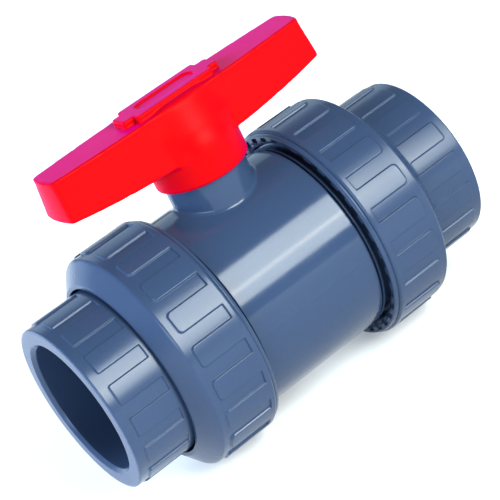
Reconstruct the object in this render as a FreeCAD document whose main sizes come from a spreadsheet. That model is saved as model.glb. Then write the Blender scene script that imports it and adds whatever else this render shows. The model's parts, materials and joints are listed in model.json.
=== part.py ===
import FreeCAD, Part
import Sketcher
import os
import re

# Union ball valve for 63 mm solvent-welded pipe: a casing with a turning ball, two screwed unions
# and a lever handle that lifts off to serve as the spanner for the seat carrier.
#
# The origin is where the pipe axis crosses the stem axis. +X runs along the pipe, towards the side
# with the screwed seat carrier, and +Z runs up the stem. The valve is open and its unions are tight.

# Driving dimensions in millimetres and degrees: alias, value, what it measures.
DIMENSIONS = (
    ("face_reach", 100.0, "ball centre to the face of a socket"),
    ("socket_radius", 31.6, "socket wall, for pipe of 63 mm outside diameter"),
    ("socket_floor", 62.0, "ball centre to the floor of a socket"),
    ("socket_lead", 1.7, "length of the lead-in chamfer of a socket"),
    ("flow_radius", 25.0, "waterway through the casing, seats and connectors"),
    ("joint_face", 57.5, "ball centre to the joint between casing and connector"),
    ("barrel_low", 40.4, "connector barrel in the grip slots and at its mouth"),
    ("barrel_high", 41.2, "connector barrel on the grip fingers"),
    ("barrel_grip_start", 74.0, "closed end of the grip slots of a connector"),
    ("barrel_grip_end", 95.0, "open end of the grip slots of a connector"),
    ("barrel_slots", 16, "grip slots round a connector"),
    ("barrel_slot_angle", 9.0, "width of one grip slot of a connector"),
    ("barrel_turn_left", 12.7, "turn of the left connector's grip about the pipe axis"),
    ("barrel_turn_right", 22.2, "turn of the right connector's grip about the pipe axis"),
    ("barrel_lip", 2.0, "rounding of the outer edge of a socket's face"),
    ("flange_radius", 45.0, "connector flange that the nut draws on"),
    ("flange_back", 63.0, "ball centre to the back of the connector flange"),
    ("flange_bevel", 1.2, "bevel round the connector flange"),
    ("body_radius", 47.2, "casing between the nuts"),
    ("shoulder_reach", 31.7, "ball centre to the end of the full casing diameter"),
    ("shoulder_round", 0.4, "rounding of the edges of the full casing diameter"),
    ("relief_ring_start", 32.9, "ball centre to the ring between casing and thread"),
    ("relief_ring_end", 34.1, "ball centre to the far side of that ring"),
    ("relief_ring_radius", 46.8, "outside of the ring between casing and thread"),
    ("spigot_radius", 45.0, "threaded end of the casing, at the thread root"),
    ("spigot_lead", 1.2, "bevel at the end of the threaded spigot"),
    ("thread_pitch", 6.0, "pitch of the union thread, right-handed"),
    ("thread_crest", 46.9, "crest of the casing thread"),
    ("thread_start", 36.2, "ball centre to the middle of the first turn of the casing thread"),
    ("thread_length", 18.0, "length of the casing thread"),
    ("thread_root_width", 3.6, "width of a thread ridge at its root"),
    ("thread_crest_width", 1.8, "width of a thread ridge at its crest"),
    ("thread_embed", 0.5, "depth to which a thread ridge is sunk in its wall"),
    ("nut_high", 54.2, "union nut on the grip fingers"),
    ("nut_low", 53.3, "union nut in the grip slots"),
    ("nut_rim", 34.0, "ball centre to the rim of the nut"),
    ("nut_rim_radius", 52.3, "outside of the nut at its rim"),
    ("nut_rim_bevel", 1.9, "length of the bevel behind the rim"),
    ("nut_rim_mouth", 50.2, "inside of the nut at its rim"),
    ("nut_root", 47.4, "inside of the nut, at the thread root"),
    ("nut_crest", 45.5, "crest of the nut thread"),
    ("nut_mouth_depth", 2.6, "length of the lead-in cone at the rim"),
    ("nut_grip_start", 39.4, "closed end of the grip slots of a nut"),
    ("nut_grip_end", 61.4, "open end of the grip slots of a nut"),
    ("nut_band_end", 64.5, "end of the plain band, where the nut's shoulder starts"),
    ("nut_end", 71.9, "ball centre to the outer end of the nut"),
    ("nut_end_radius", 44.2, "outside of the nut at its outer end"),
    ("nut_opening", 42.3, "opening of the nut round the connector"),
    ("nut_shoulder_round", 2.2, "rounding between the band and the shoulder of a nut"),
    ("nut_lip", 0.9, "rounding of the outer end of a nut"),
    ("nut_slots", 20, "grip slots round a nut"),
    ("nut_slot_angle", 7.2, "width of one grip slot of a nut"),
    ("nut_turn_left", 12.7, "turn of the left nut's grip about the pipe axis"),
    ("nut_turn_right", 0.4, "turn of the right nut's grip about the pipe axis"),
    ("notches", 36, "notches round the rim of a nut"),
    ("notch_angle", 5.0, "width of one rim notch"),
    ("notch_depth", 1.6, "depth of a rim notch along the pipe axis"),
    ("notch_radius", 51.7, "outer wall of a rim notch"),
    ("notch_turn", 4.6, "turn of the rim notches against the grip slots"),
    ("ball_radius", 36.0, "ball"),
    ("ball_bore", 24.5, "waterway through the ball"),
    ("cavity_radius", 37.4, "bore of the casing round the ball and the seat carrier"),
    ("cavity_end", 19.0, "ball centre to the blind end of the casing bore"),
    ("seat_radius", 33.0, "outside of a seat ring"),
    ("seat_back", 28.0, "ball centre to the back of a seat ring"),
    ("seat_front", 19.5, "ball centre to the front of a seat ring"),
    ("seat_gap", 0.1, "clearance between a seat's hollow face and the ball"),
    ("seat_clearance", 0.05, "radial clearance of a seat ring and of the carrier"),
    ("seat_seal_mean", 29.5, "mean radius of the backing seal of a seat"),
    ("seat_seal_section", 1.2, "half the thickness of the backing seal"),
    ("face_seal_mean", 40.6, "mean radius of the seal between casing and connector"),
    ("face_seal_section", 1.7, "half the thickness of the seal between casing and connector"),
    ("carrier_front", 21.0, "ball centre to the inner face of the seat carrier"),
    ("carrier_back", 56.9, "ball centre to the outer face of the seat carrier"),
    ("carrier_radius", 37.3, "outside of the seat carrier"),
    ("carrier_seal_reach", 33.0, "ball centre to the seal round the seat carrier"),
    ("carrier_seal_section", 1.4, "half the thickness of the seal round the seat carrier"),
    ("key_slot_reach", 30.5, "outer end of the spanner slots in the seat carrier"),
    ("key_slot_width", 11.6, "width of the spanner slots in the seat carrier"),
    ("key_slot_depth", 5.0, "depth of the spanner slots in the seat carrier"),
    ("neck_radius", 19.0, "neck of the casing round the stem"),
    ("neck_top", 68.0, "top of the neck"),
    ("neck_fillet", 2.2, "fillet where the neck leaves the casing"),
    ("stop_inner", 14.4, "inner radius of the handle stops"),
    ("stop_outer", 18.6, "outer radius of the handle stops"),
    ("stop_height", 3.4, "height of the handle stops"),
    ("neck_stop_angle", 30.0, "width of a stop on the neck"),
    ("handle_stop_angle", 59.0, "width of a stop in the handle"),
    ("handle_stop_turn", 135.0, "turn of the handle's stops from the pipe axis, valve open"),
    ("stem_radius", 10.4, "shaft of the stem"),
    ("stem_bore", 10.5, "bore of the neck round the stem"),
    ("stem_flange", 14.0, "flange that keeps the stem from being blown out"),
    ("stem_flange_bottom", 36.3, "underside of the stem flange"),
    ("stem_flange_top", 40.3, "top of the stem flange"),
    ("thrust_top", 42.0, "top of the thrust ring above the stem flange"),
    ("stem_well", 14.15, "counterbore of the neck round the stem flange"),
    ("tongue_width", 8.0, "thickness of the stem tongue, along the pipe axis"),
    ("tongue_length", 22.0, "length of the stem tongue, across the pipe axis"),
    ("tongue_bottom", 30.3, "lower end of the stem tongue"),
    ("tongue_gap", 0.1, "clearance round the stem tongue in the ball"),
    ("stem_top", 86.0, "top of the stem"),
    ("stem_flat", 7.5, "stem axis to each flat of the stem head"),
    ("stem_seal_low", 47.5, "height of the lower stem seal"),
    ("stem_seal_high", 54.5, "height of the upper stem seal"),
    ("stem_seal_section", 1.18, "half the thickness of a stem seal"),
    ("groove_half_width", 1.5, "half the width of a stem seal groove"),
    ("groove_radius", 8.1, "floor of a stem seal groove"),
    ("bush_bottom", 60.0, "underside of the bush in the neck"),
    ("bush_radius", 13.5, "outside of the bush in the neck"),
    ("bush_bore", 10.45, "bore of the bush in the neck"),
    ("handle_top", 94.2, "top of the handle bar"),
    ("handle_base", 69.0, "level of the lower outline from which the bar is drawn"),
    ("bar_half", 66.4, "half the length of the bar's top, at its corners"),
    ("bar_half_low", 68.0, "half the length of the lower outline, at its corners"),
    ("bar_width", 9.2, "half the width of the bar's top at its corners"),
    ("bar_width_low", 13.2, "half the width of the lower outline at its corners"),
    ("bar_side_bow", 3.0, "bow of the bar's long sides"),
    ("bar_end_bow", 1.5, "bow of the bar's ends"),
    ("under_centre", 70.6, "underside of the bar at the stem axis"),
    ("under_tip", 75.6, "underside of the bar at its ends"),
    ("bar_edge", 0.8, "rounding of the bar's edges"),
    ("collar_radius", 21.7, "handle collar over the neck"),
    ("collar_bottom", 58.6, "lower edge of the handle collar"),
    ("collar_top", 73.5, "height where the collar starts to narrow into the bar"),
    ("boss_radius", 13.2, "handle boss where it meets the top of the bar"),
    ("boss_top", 92.5, "height where the boss meets the top of the bar"),
    ("collar_bore", 19.5, "inside of the handle collar"),
    ("collar_roof", 71.8, "roof of the hollow inside the handle collar"),
    ("head_gap", 0.12, "clearance round the stem head in the handle"),
    ("core_wall", 3.2, "thickness of the handle above its lightening pockets"),
    ("core_half_width", 7.2, "half the width of a lightening pocket"),
    ("core_start", 26.5, "stem axis to the first lightening pocket"),
    ("core_length", 11.2, "length of a lightening pocket"),
    ("core_step", 13.4, "distance from one lightening pocket to the next"),
    ("core_count", 3, "lightening pockets in each wing of the bar"),
    ("rib_bottom", 84.0, "lower edge of the ribs between the lightening pockets"),
    ("key_height", 3.0, "height of the spanner pad on top of the handle"),
    ("key_half_length", 25.4, "half the length of the spanner pad, over its noses"),
    ("key_shoulder", 19.6, "stem axis to the shoulder between pad and nose"),
    ("key_half_width", 9.2, "half the width of the spanner pad"),
    ("key_nose", 5.4, "half the width of the noses of the spanner pad"),
    ("key_corner", 1.0, "rounding of the upright corners of the spanner pad"),
    ("key_lead", 1.5, "length of the slanted shoulder between pad and nose"),
    ("thrust_gap", 0.15, "radial clearance of the thrust ring round the stem"),
    ("groove_gap", 0.05, "clearance beside a fixed seal in its groove"),
    ("carrier_groove_gap", 0.1, "clearance beside the seal round the seat carrier"),
    ("stem_bevel", 1.0, "bevel at the top of the stem"),
    ("flat_gap", 0.4, "handle stops to the lower end of the flats on the stem head"),
    ("stop_gap", 0.3, "clearance under the handle's stops, above the neck"),
    ("overcut", 1.0, "how far a cutting outline runs past the face that it opens"),
    ("overlap", 0.5, "how deep an added feature starts inside the solid that it joins"),
)

ALIASES = {name for name, _, _ in DIMENSIONS}

doc = FreeCAD.newDocument("union_ball_valve")
dims = doc.addObject("Spreadsheet::Sheet", "dims")


def fill_sheet():
    """Write every driving dimension into the sheet, with its alias and its meaning."""
    for row, (name, value, meaning) in enumerate(DIMENSIONS, start=1):
        dims.set(f"A{row}", meaning)
        dims.set(f"B{row}", str(value))
        dims.setAlias(f"B{row}", name)
    doc.recompute()


def bound(text):
    """Turn a formula over aliases into one that other objects can read."""
    return re.sub(r"[a-z_]+", lambda word: f"dims.{word[0]}" if word[0] in ALIASES else word[0], text)


def number(text):
    """Work out a formula over aliases with the sheet's present values."""
    return float(dims.evalExpression(text))


def mirrored(side, corners):
    """Corners for the side of the valve: +1 keeps them, -1 mirrors them in the stem plane."""
    if side > 0:
        return corners
    return [(f"-({along})", across) for along, across in corners]


# ---------------------------------------------------------------- sketches and features


def new_body(name):
    body = doc.addObject("PartDesign::Body", name)
    body.Label = name
    return body


def datum(body, role):
    """One of the body's own origin planes or axes."""
    return next(item for item in body.Origin.OriginFeatures if item.Role == role)


def new_sketch(body, name, role, height=None):
    """A sketch on an origin plane of its body, raised by the formula height."""
    sketch = body.newObject("Sketcher::SketchObject", name)
    sketch.AttachmentSupport = (datum(body, role), [""])
    sketch.MapMode = "FlatFace"
    if height:
        sketch.setExpression("AttachmentOffset.Base.z", bound(height))
    return sketch


def pin(sketch, geometry, position, corner):
    """Fix one end of a sketched edge at a corner given by two formulas."""
    for kind, axis, text in (("DistanceX", -2, corner[0]), ("DistanceY", -1, corner[1])):
        if text == "0":
            sketch.addConstraint(Sketcher.Constraint("PointOnObject", geometry, position, axis))
        else:
            index = sketch.addConstraint(Sketcher.Constraint(kind, geometry, position, number(text)))
            sketch.setExpression(f"Constraints[{index}]", bound(text))


def outline(sketch, corners, bows=None):
    """Draw a closed outline, counter-clockwise, through corners given as pairs of formulas.

    bows maps an edge's number to the formula of its bow: that edge is an arc that stands out of
    the outline by its bow, or into it if the bow is negative.
    """
    bows = bows or {}
    first = sketch.GeometryCount
    points = [FreeCAD.Vector(number(x), number(y), 0) for x, y in corners]
    count = len(points)
    starts = {}
    for edge in range(count):
        begin = points[edge]
        end = points[(edge + 1) % count]
        if edge not in bows:
            sketch.addGeometry(Part.LineSegment(begin, end), False)
            starts[edge] = (1, 2)
            continue
        bow = number(bows[edge])
        chord = end - begin
        outward = FreeCAD.Vector(chord.y, -chord.x, 0).normalize()
        middle = (begin + end) / 2 + outward * bow
        sketch.addGeometry(Part.Arc(begin, middle, end), False)
        starts[edge] = (1, 2) if bow > 0 else (2, 1)
    for edge in range(count):
        following = (edge + 1) % count
        joined = ("Coincident", first + edge, starts[edge][1], first + following, starts[following][0])
        sketch.addConstraint(Sketcher.Constraint(*joined))
        pin(sketch, first + edge, starts[edge][0], corners[edge])
    for edge, bow in bows.items():
        (x0, y0), (x1, y1) = corners[edge], corners[(edge + 1) % count]
        radius = f"((({x1}) - ({x0}))^2 + (({y1}) - ({y0}))^2 + 4 * ({bow})^2) / (8 * abs({bow}))"
        index = sketch.addConstraint(Sketcher.Constraint("Radius", first + edge, number(radius)))
        sketch.setExpression(f"Constraints[{index}]", bound(radius))


def turned(body, name, corners, axis, angle=None, swing=None):
    """A solid of revolution from an outline in the XZ plane, about its H (pipe) or V (stem) axis.

    angle limits it to a sector about that plane, and swing turns the plane about the same axis.
    """
    return turn(body, name, corners, axis, angle, swing, "PartDesign::Revolution")


def turned_away(body, name, corners, axis, angle=None, swing=None):
    """Material cut away by turning an outline in the XZ plane about an axis of the sketch."""
    return turn(body, name, corners, axis, angle, swing, "PartDesign::Groove")


def turn(body, name, corners, axis, angle, swing, kind):
    sketch = new_sketch(body, f"{name}_profile", "XZ_Plane")
    outline(sketch, corners)
    if swing:
        line = FreeCAD.Vector(1, 0, 0) if axis == "H" else FreeCAD.Vector(0, 1, 0)
        plane_turn = FreeCAD.Rotation(line, number(swing))
        sketch.AttachmentOffset = FreeCAD.Placement(FreeCAD.Vector(), plane_turn)
    feature = body.newObject(kind, name)
    feature.Profile = sketch
    feature.ReferenceAxis = (sketch, [f"{axis}_Axis"])
    feature.Angle = 360
    if angle:
        feature.Midplane = True
        feature.setExpression("Angle", bound(angle))
    return feature


def raised(body, name, sketch, length, downward=False):
    """Pad a sketch by the formula length."""
    feature = body.newObject("PartDesign::Pad", name)
    feature.Profile = sketch
    feature.Reversed = downward
    feature.setExpression("Length", bound(length))
    return feature


def hollowed(body, name, sketch, length, both_ways=False):
    """Pocket a sketch on the XY plane upwards, or on another plane to both sides."""
    before = body.Tip.Shape.Volume
    feature = body.newObject("PartDesign::Pocket", name)
    feature.Profile = sketch
    feature.Reversed = not both_ways
    feature.Midplane = both_ways
    feature.setExpression("Length", bound(length))
    doc.recompute()
    if feature.Shape.Volume > before - 1:
        raise RuntimeError(f"{name} removes nothing")
    return feature


def ringed(body, name, original, axis_role, count):
    """Repeat a feature round an origin axis, a number of times given by a formula."""
    pattern = body.newObject("PartDesign::PolarPattern", name)
    pattern.Originals = [original]
    pattern.Axis = (datum(body, axis_role), [""])
    pattern.Angle = 360
    pattern.setExpression("Occurrences", bound(count))
    body.Tip = pattern
    return pattern


def rounded(body, name, radius, chooses):
    """Fillet the edges of the body for which chooses(edge) is true."""
    doc.recompute()
    base = body.Tip
    names = [f"Edge{number + 1}" for number, edge in enumerate(base.Shape.Edges) if chooses(edge)]
    if not names:
        raise RuntimeError(f"{name} finds no edge")
    feature = body.newObject("PartDesign::Fillet", name)
    feature.Base = (base, names)
    feature.setExpression("Radius", bound(radius))
    doc.recompute()
    return feature


def near(a, b, tolerance=0.02):
    return abs(a - b) < tolerance


def samples(edge):
    """Five points spread along an edge."""
    span = edge.LastParameter - edge.FirstParameter
    return [edge.valueAt(edge.FirstParameter + span * part) for part in (0.1, 0.3, 0.5, 0.7, 0.9)]


def ring_edge(along, radius):
    """Chooses the circle about the pipe axis at a given place and radius."""
    place = number(along)
    size = number(radius)

    def chooses(edge):
        return all(near(p.x, place) and near((p.y ** 2 + p.z ** 2) ** 0.5, size) for p in samples(edge))

    return chooses


def turn_about_pipe(body, angle):
    """Turn a finished body about the pipe axis by the formula angle."""
    body.Placement = FreeCAD.Placement(FreeCAD.Vector(), FreeCAD.Rotation(FreeCAD.Vector(1, 0, 0), 0))
    body.setExpression("Placement.Rotation.Angle", bound(angle))


# ---------------------------------------------------------------- rings made from primitives


def primitive(kind, name, sizes, along=None, turn_to_pipe=True):
    """A Part primitive whose sizes are formulas, standing on the pipe axis or on the stem axis."""
    item = doc.addObject(kind, name)
    for key, text in sizes.items():
        item.setExpression(key, bound(text))
    if turn_to_pipe:
        item.Placement.Rotation = FreeCAD.Rotation(FreeCAD.Vector(0, 1, 0), 90)
    if along:
        item.setExpression("Placement.Base.x" if turn_to_pipe else "Placement.Base.z", bound(along))
    return item


def cut(name, base, tool):
    item = doc.addObject("Part::Cut", name)
    item.Base = base
    item.Tool = tool
    item.Label = name
    return item


def seal(name, mean, section, along, turn_to_pipe=True):
    """A seal ring of round section."""
    item = primitive("Part::Torus", name, {"Radius1": mean, "Radius2": section}, along, turn_to_pipe)
    item.Label = name
    return item


def bushing(name, outer, inner, bottom, top):
    """A plain ring on the stem axis."""
    length = f"({top}) - ({bottom})"
    sizes = {"Radius": outer, "Height": length}
    blank = primitive("Part::Cylinder", f"{name}_blank", sizes, bottom, turn_to_pipe=False)
    sizes = {"Radius": inner, "Height": length}
    hole = primitive("Part::Cylinder", f"{name}_hole", sizes, bottom, turn_to_pipe=False)
    return cut(name, blank, hole)


# ---------------------------------------------------------------- threads


def thread_ridge(name, side, start, turns, root, crest, sink):
    """One helical ridge about the pipe axis, standing from the radius root to the radius crest.

    start is the distance from the ball centre to the middle of the first turn. The ridge is
    swept along a helix by its trapezoid section, which reaches the length sink into the wall.
    """
    pitch = number("thread_pitch")
    narrow = number("thread_crest_width") / 2
    flare = (number("thread_root_width") / 2 - narrow) * (crest - root + sink) / (crest - root)
    wide = narrow + flare
    path = Part.makeHelix(pitch, pitch * turns, root)
    corners = [(root - sink, -wide), (crest, -narrow), (crest, narrow), (root - sink, wide)]
    points = [FreeCAD.Vector(radius, 0, height) for radius, height in corners]
    section = Part.makePolygon(points + points[:1])
    ridge = Part.Wire(path).makePipeShell([section], True, True)
    ridge.rotate(FreeCAD.Vector(), FreeCAD.Vector(0, 1, 0), 90)
    if side > 0:
        ridge.translate(FreeCAD.Vector(start, 0, 0))
    else:
        ridge.rotate(FreeCAD.Vector(), FreeCAD.Vector(0, 0, 1), 180)
        ridge.translate(FreeCAD.Vector(-start, 0, 0))
    item = doc.addObject("Part::Feature", name)
    item.Shape = ridge
    return item


# ---------------------------------------------------------------- casing


def make_casing():
    """The casing: barrel, neck, ball cavity, seal grooves and the stops for the handle."""
    body = new_body("casing")
    half = [
        ("shoulder_reach", "body_radius"),
        ("shoulder_reach", "spigot_radius"),
        ("relief_ring_start", "spigot_radius"),
        ("relief_ring_start", "relief_ring_radius"),
        ("relief_ring_end", "relief_ring_radius"),
        ("relief_ring_end", "spigot_radius"),
        ("joint_face - spigot_lead", "spigot_radius"),
        ("joint_face", "spigot_radius - spigot_lead"),
        ("joint_face", "0"),
    ]
    turned(body, "casing_barrel", mirrored(-1, half)[::-1] + half, "H")
    for side, word in ((-1, "left"), (1, "right")):
        edge = ring_edge(f"{side} * shoulder_reach", "body_radius")
        rounded(body, f"casing_shoulder_{word}", "shoulder_round", edge)
    ring = new_sketch(body, "neck_ring", "XY_Plane")
    circle = Part.Circle(FreeCAD.Vector(), FreeCAD.Vector(0, 0, 1), number("neck_radius"))
    ring.addGeometry(circle, False)
    ring.addConstraint(Sketcher.Constraint("Coincident", 0, 3, -1, 1))
    ring.addConstraint(Sketcher.Constraint("Radius", 0, number("neck_radius")))
    ring.setExpression("Constraints[1]", bound("neck_radius"))
    raised(body, "casing_neck", ring, "neck_top")
    neck = number("neck_radius")
    barrel = number("body_radius")

    def saddle(edge):
        return all(
            near(p.x ** 2 + p.y ** 2, neck ** 2, 0.5) and near(p.y ** 2 + p.z ** 2, barrel ** 2, 0.5)
            for p in samples(edge)
        )

    rounded(body, "neck_root", "neck_fillet", saddle)
    turned_away(body, "waterway", casing_cavity(), "H")
    well = [
        ("0", "0"),
        ("stem_well", "0"),
        ("stem_well", "thrust_top"),
        ("stem_bore", "thrust_top"),
        ("stem_bore", "bush_bottom"),
        ("bush_radius + seat_clearance", "bush_bottom"),
        ("bush_radius + seat_clearance", "neck_top + overcut"),
        ("0", "neck_top + overcut"),
    ]
    turned_away(body, "stem_well_bore", well, "V")
    for side in (1, -1):
        place = face_groove(side)
        turned_away(body, f"face_groove_{'left' if side < 0 else 'right'}", place, "H")
    stop = [
        ("stop_inner", "neck_top - overlap"),
        ("stop_outer", "neck_top - overlap"),
        ("stop_outer", "neck_top + stop_height"),
        ("stop_inner", "neck_top + stop_height"),
    ]
    lug = turned(body, "neck_stop", stop, "V", "neck_stop_angle")
    ringed(body, "neck_stops", lug, "Z_Axis", "2")
    return body


def casing_cavity():
    """Waterway, left seat pocket and the bore that takes ball and seat carrier from the right."""
    groove = "seat_seal_section + groove_gap"
    return [
        ("-(joint_face + overcut)", "0"),
        ("joint_face + overcut", "0"),
        ("joint_face + overcut", "cavity_radius"),
        ("-cavity_end", "cavity_radius"),
        ("-cavity_end", "seat_radius + seat_clearance"),
        ("-seat_back", "seat_radius + seat_clearance"),
        ("-seat_back", f"seat_seal_mean + {groove}"),
        ("-(seat_back + 2 * seat_seal_section)", f"seat_seal_mean + {groove}"),
        ("-(seat_back + 2 * seat_seal_section)", f"seat_seal_mean - ({groove})"),
        ("-seat_back", f"seat_seal_mean - ({groove})"),
        ("-seat_back", "flow_radius"),
        ("-(joint_face + overcut)", "flow_radius"),
    ]


def face_groove(side):
    """Section of the seal groove in the end face of the casing."""
    reach = "joint_face - 2 * face_seal_section"
    return mirrored(side, [
        (reach, "face_seal_mean - face_seal_section - groove_gap"),
        ("joint_face + overcut", "face_seal_mean - face_seal_section - groove_gap"),
        ("joint_face + overcut", "face_seal_mean + face_seal_section + groove_gap"),
        (reach, "face_seal_mean + face_seal_section + groove_gap"),
    ])


# ---------------------------------------------------------------- unions


def make_connector(side, name):
    """End connector: a socket for the pipe, a gripped barrel and the flange that the nut draws on."""
    body = new_body(name)
    corners = [
        ("joint_face", "flow_radius"),
        ("socket_floor", "flow_radius"),
        ("socket_floor", "socket_radius"),
        ("face_reach - socket_lead", "socket_radius"),
        ("face_reach", "socket_radius + socket_lead"),
        ("face_reach", "barrel_low"),
        ("barrel_grip_end", "barrel_low"),
        ("barrel_grip_end", "barrel_high"),
        ("flange_back", "barrel_high"),
        ("flange_back", "flange_radius"),
        ("joint_face + flange_bevel", "flange_radius"),
        ("joint_face", "flange_radius - flange_bevel"),
    ]
    turned(body, f"{name}_blank", mirrored(side, corners), "H")
    mouth = f"{side} * face_reach"
    rounded(body, f"{name}_lip", "barrel_lip", ring_edge(mouth, "barrel_low"))
    slot = [
        ("barrel_grip_start", "barrel_low"),
        ("barrel_grip_end + overlap", "barrel_low"),
        ("barrel_grip_end + overlap", "barrel_high + overcut"),
        ("barrel_grip_start", "barrel_high + overcut"),
    ]
    first = turned_away(body, f"{name}_slot", mirrored(side, slot), "H", "barrel_slot_angle")
    ringed(body, f"{name}_grip", first, "X_Axis", "barrel_slots")
    turn_about_pipe(body, "barrel_turn_left" if side < 0 else "barrel_turn_right")
    return body


def make_nut(side, name):
    """Union nut: gripped skirt, shoulder that draws on the connector flange and notched rim."""
    body = new_body(f"{name}_shell")
    corners = [
        ("nut_rim", "nut_rim_mouth"),
        ("nut_rim + nut_mouth_depth", "nut_root"),
        ("flange_back", "nut_root"),
        ("flange_back", "nut_opening"),
        ("nut_end", "nut_opening"),
        ("nut_end", "nut_end_radius"),
        ("nut_band_end", "nut_low"),
        ("nut_grip_end", "nut_low"),
        ("nut_grip_end", "nut_high"),
        ("nut_rim + nut_rim_bevel", "nut_high"),
        ("nut_rim", "nut_rim_radius"),
    ]
    turned(body, f"{name}_blank", mirrored(side, corners), "H")
    rounded(body, f"{name}_shoulder", "nut_shoulder_round", ring_edge(f"{side} * nut_band_end", "nut_low"))
    rounded(body, f"{name}_lip", "nut_lip", ring_edge(f"{side} * nut_end", "nut_end_radius"))
    slot = [
        ("nut_grip_start", "nut_low"),
        ("nut_grip_end + overlap", "nut_low"),
        ("nut_grip_end + overlap", "nut_high + overcut"),
        ("nut_grip_start", "nut_high + overcut"),
    ]
    first = turned_away(body, f"{name}_slot", mirrored(side, slot), "H", "nut_slot_angle")
    ringed(body, f"{name}_grip", first, "X_Axis", "nut_slots")
    notch = [
        ("nut_rim - overcut", "nut_root"),
        ("nut_rim + notch_depth", "nut_root"),
        ("nut_rim + notch_depth", "notch_radius"),
        ("nut_rim - overcut", "notch_radius"),
    ]
    first = turned_away(body, f"{name}_notch", mirrored(side, notch), "H", "notch_angle", "notch_turn")
    ringed(body, f"{name}_notches", first, "X_Axis", "notches")
    turn_about_pipe(body, "nut_turn_left" if side < 0 else "nut_turn_right")
    return body


# ---------------------------------------------------------------- ball, seats and stem


def make_ball():
    """The ball, bored along the pipe and slotted across it for the stem tongue."""
    sphere = doc.addObject("Part::Sphere", "ball_blank")
    sphere.setExpression("Radius", bound("ball_radius"))
    bore = primitive("Part::Cylinder", "ball_way", {"Radius": "ball_bore", "Height": "4 * ball_radius"},
                     "-2 * ball_radius")
    bored = cut("ball_bored", sphere, bore)
    slot = doc.addObject("Part::Box", "ball_slot")
    width = "tongue_width + 2 * tongue_gap"
    length = "tongue_length + 2 * tongue_gap"
    slot.setExpression("Length", bound(width))
    slot.setExpression("Width", bound(length))
    slot.setExpression("Height", bound("ball_radius"))
    slot.setExpression("Placement.Base.x", bound(f"-({width}) / 2"))
    slot.setExpression("Placement.Base.y", bound(f"-({length}) / 2"))
    slot.setExpression("Placement.Base.z", bound("tongue_bottom - tongue_gap"))
    return cut("ball", bored, slot)


def make_seat(side, name):
    """A seat ring with a hollow face that the ball turns against."""
    body_name = f"{name}_ring"
    length = "seat_back - seat_front"
    start = "seat_front" if side > 0 else "-seat_back"
    sizes = {"Radius": "seat_radius", "Height": length}
    blank = primitive("Part::Cylinder", f"{name}_blank", sizes, start)
    sizes = {"Radius": "flow_radius", "Height": length}
    way = primitive("Part::Cylinder", f"{name}_way", sizes, start)
    hollow = doc.addObject("Part::Sphere", f"{name}_hollow")
    hollow.setExpression("Radius", bound("ball_radius + seat_gap"))
    return cut(name, cut(body_name, blank, way), hollow)


def make_seat_carrier():
    """The screwed ring that holds the right seat, with a seal groove and two spanner slots."""
    body = new_body("seat_carrier")
    groove = "carrier_seal_section + carrier_groove_gap"
    floor = "cavity_radius - 2 * carrier_seal_section"
    pocket = "seat_seal_section + groove_gap"
    corners = [
        ("carrier_front", "seat_radius + seat_clearance"),
        ("carrier_front", "carrier_radius"),
        (f"carrier_seal_reach - ({groove})", "carrier_radius"),
        (f"carrier_seal_reach - ({groove})", floor),
        (f"carrier_seal_reach + {groove}", floor),
        (f"carrier_seal_reach + {groove}", "carrier_radius"),
        ("carrier_back", "carrier_radius"),
        ("carrier_back", "flow_radius"),
        ("seat_back", "flow_radius"),
        ("seat_back", f"seat_seal_mean - ({pocket})"),
        ("seat_back + 2 * seat_seal_section", f"seat_seal_mean - ({pocket})"),
        ("seat_back + 2 * seat_seal_section", f"seat_seal_mean + {pocket}"),
        ("seat_back", f"seat_seal_mean + {pocket}"),
        ("seat_back", "seat_radius + seat_clearance"),
    ]
    turned(body, "carrier_ring", corners[::-1], "H")
    sketch = new_sketch(body, "key_slot_outline", "XZ_Plane")
    outline(sketch, [
        ("carrier_back - key_slot_depth", "-key_slot_reach"),
        ("carrier_back + overcut", "-key_slot_reach"),
        ("carrier_back + overcut", "key_slot_reach"),
        ("carrier_back - key_slot_depth", "key_slot_reach"),
    ])
    doc.recompute()
    hollowed(body, "key_slots", sketch, "key_slot_width", both_ways=True)
    return body


def make_stem():
    """The stem: tongue, blow-out flange, sealed shaft and a head with two flats."""
    body = new_body("stem")
    low = "stem_seal_low"
    high = "stem_seal_high"
    corners = [
        ("0", "stem_flange_bottom"),
        ("stem_flange", "stem_flange_bottom"),
        ("stem_flange", "stem_flange_top"),
        ("stem_radius", "stem_flange_top"),
    ]
    for height in (low, high):
        corners += [
            ("stem_radius", f"{height} - groove_half_width"),
            ("groove_radius", f"{height} - groove_half_width"),
            ("groove_radius", f"{height} + groove_half_width"),
            ("stem_radius", f"{height} + groove_half_width"),
        ]
    corners += [
        ("stem_radius", "stem_top - stem_bevel"),
        ("stem_radius - stem_bevel", "stem_top"),
        ("0", "stem_top"),
    ]
    turned(body, "stem_shaft", corners, "V")
    tongue = new_sketch(body, "tongue_outline", "XY_Plane", "tongue_bottom")
    outline(tongue, rectangle("tongue_width / 2", "tongue_length / 2"))
    raised(body, "stem_tongue", tongue, "stem_flange_bottom - tongue_bottom + overlap")
    doc.recompute()
    for side in (1, -1):
        flat = new_sketch(body, f"flat_outline_{'left' if side < 0 else 'right'}", "XY_Plane",
                          "neck_top + stop_height + flat_gap")
        inner = f"{side} * stem_flat"
        outer = f"{side} * (stem_radius + overcut)"
        corners = [(inner, "-(stem_radius + overcut)"), (outer, "-(stem_radius + overcut)"),
                   (outer, "stem_radius + overcut"), (inner, "stem_radius + overcut")]
        outline(flat, corners if side > 0 else corners[::-1])
        hollowed(body, f"stem_flat_{'left' if side < 0 else 'right'}", flat, "stem_top")
    return body


def rectangle(half_x, half_y):
    """Corners of a rectangle about the sketch's own origin."""
    return [
        (f"-({half_x})", f"-({half_y})"),
        (half_x, f"-({half_y})"),
        (half_x, half_y),
        (f"-({half_x})", half_y),
    ]


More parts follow.
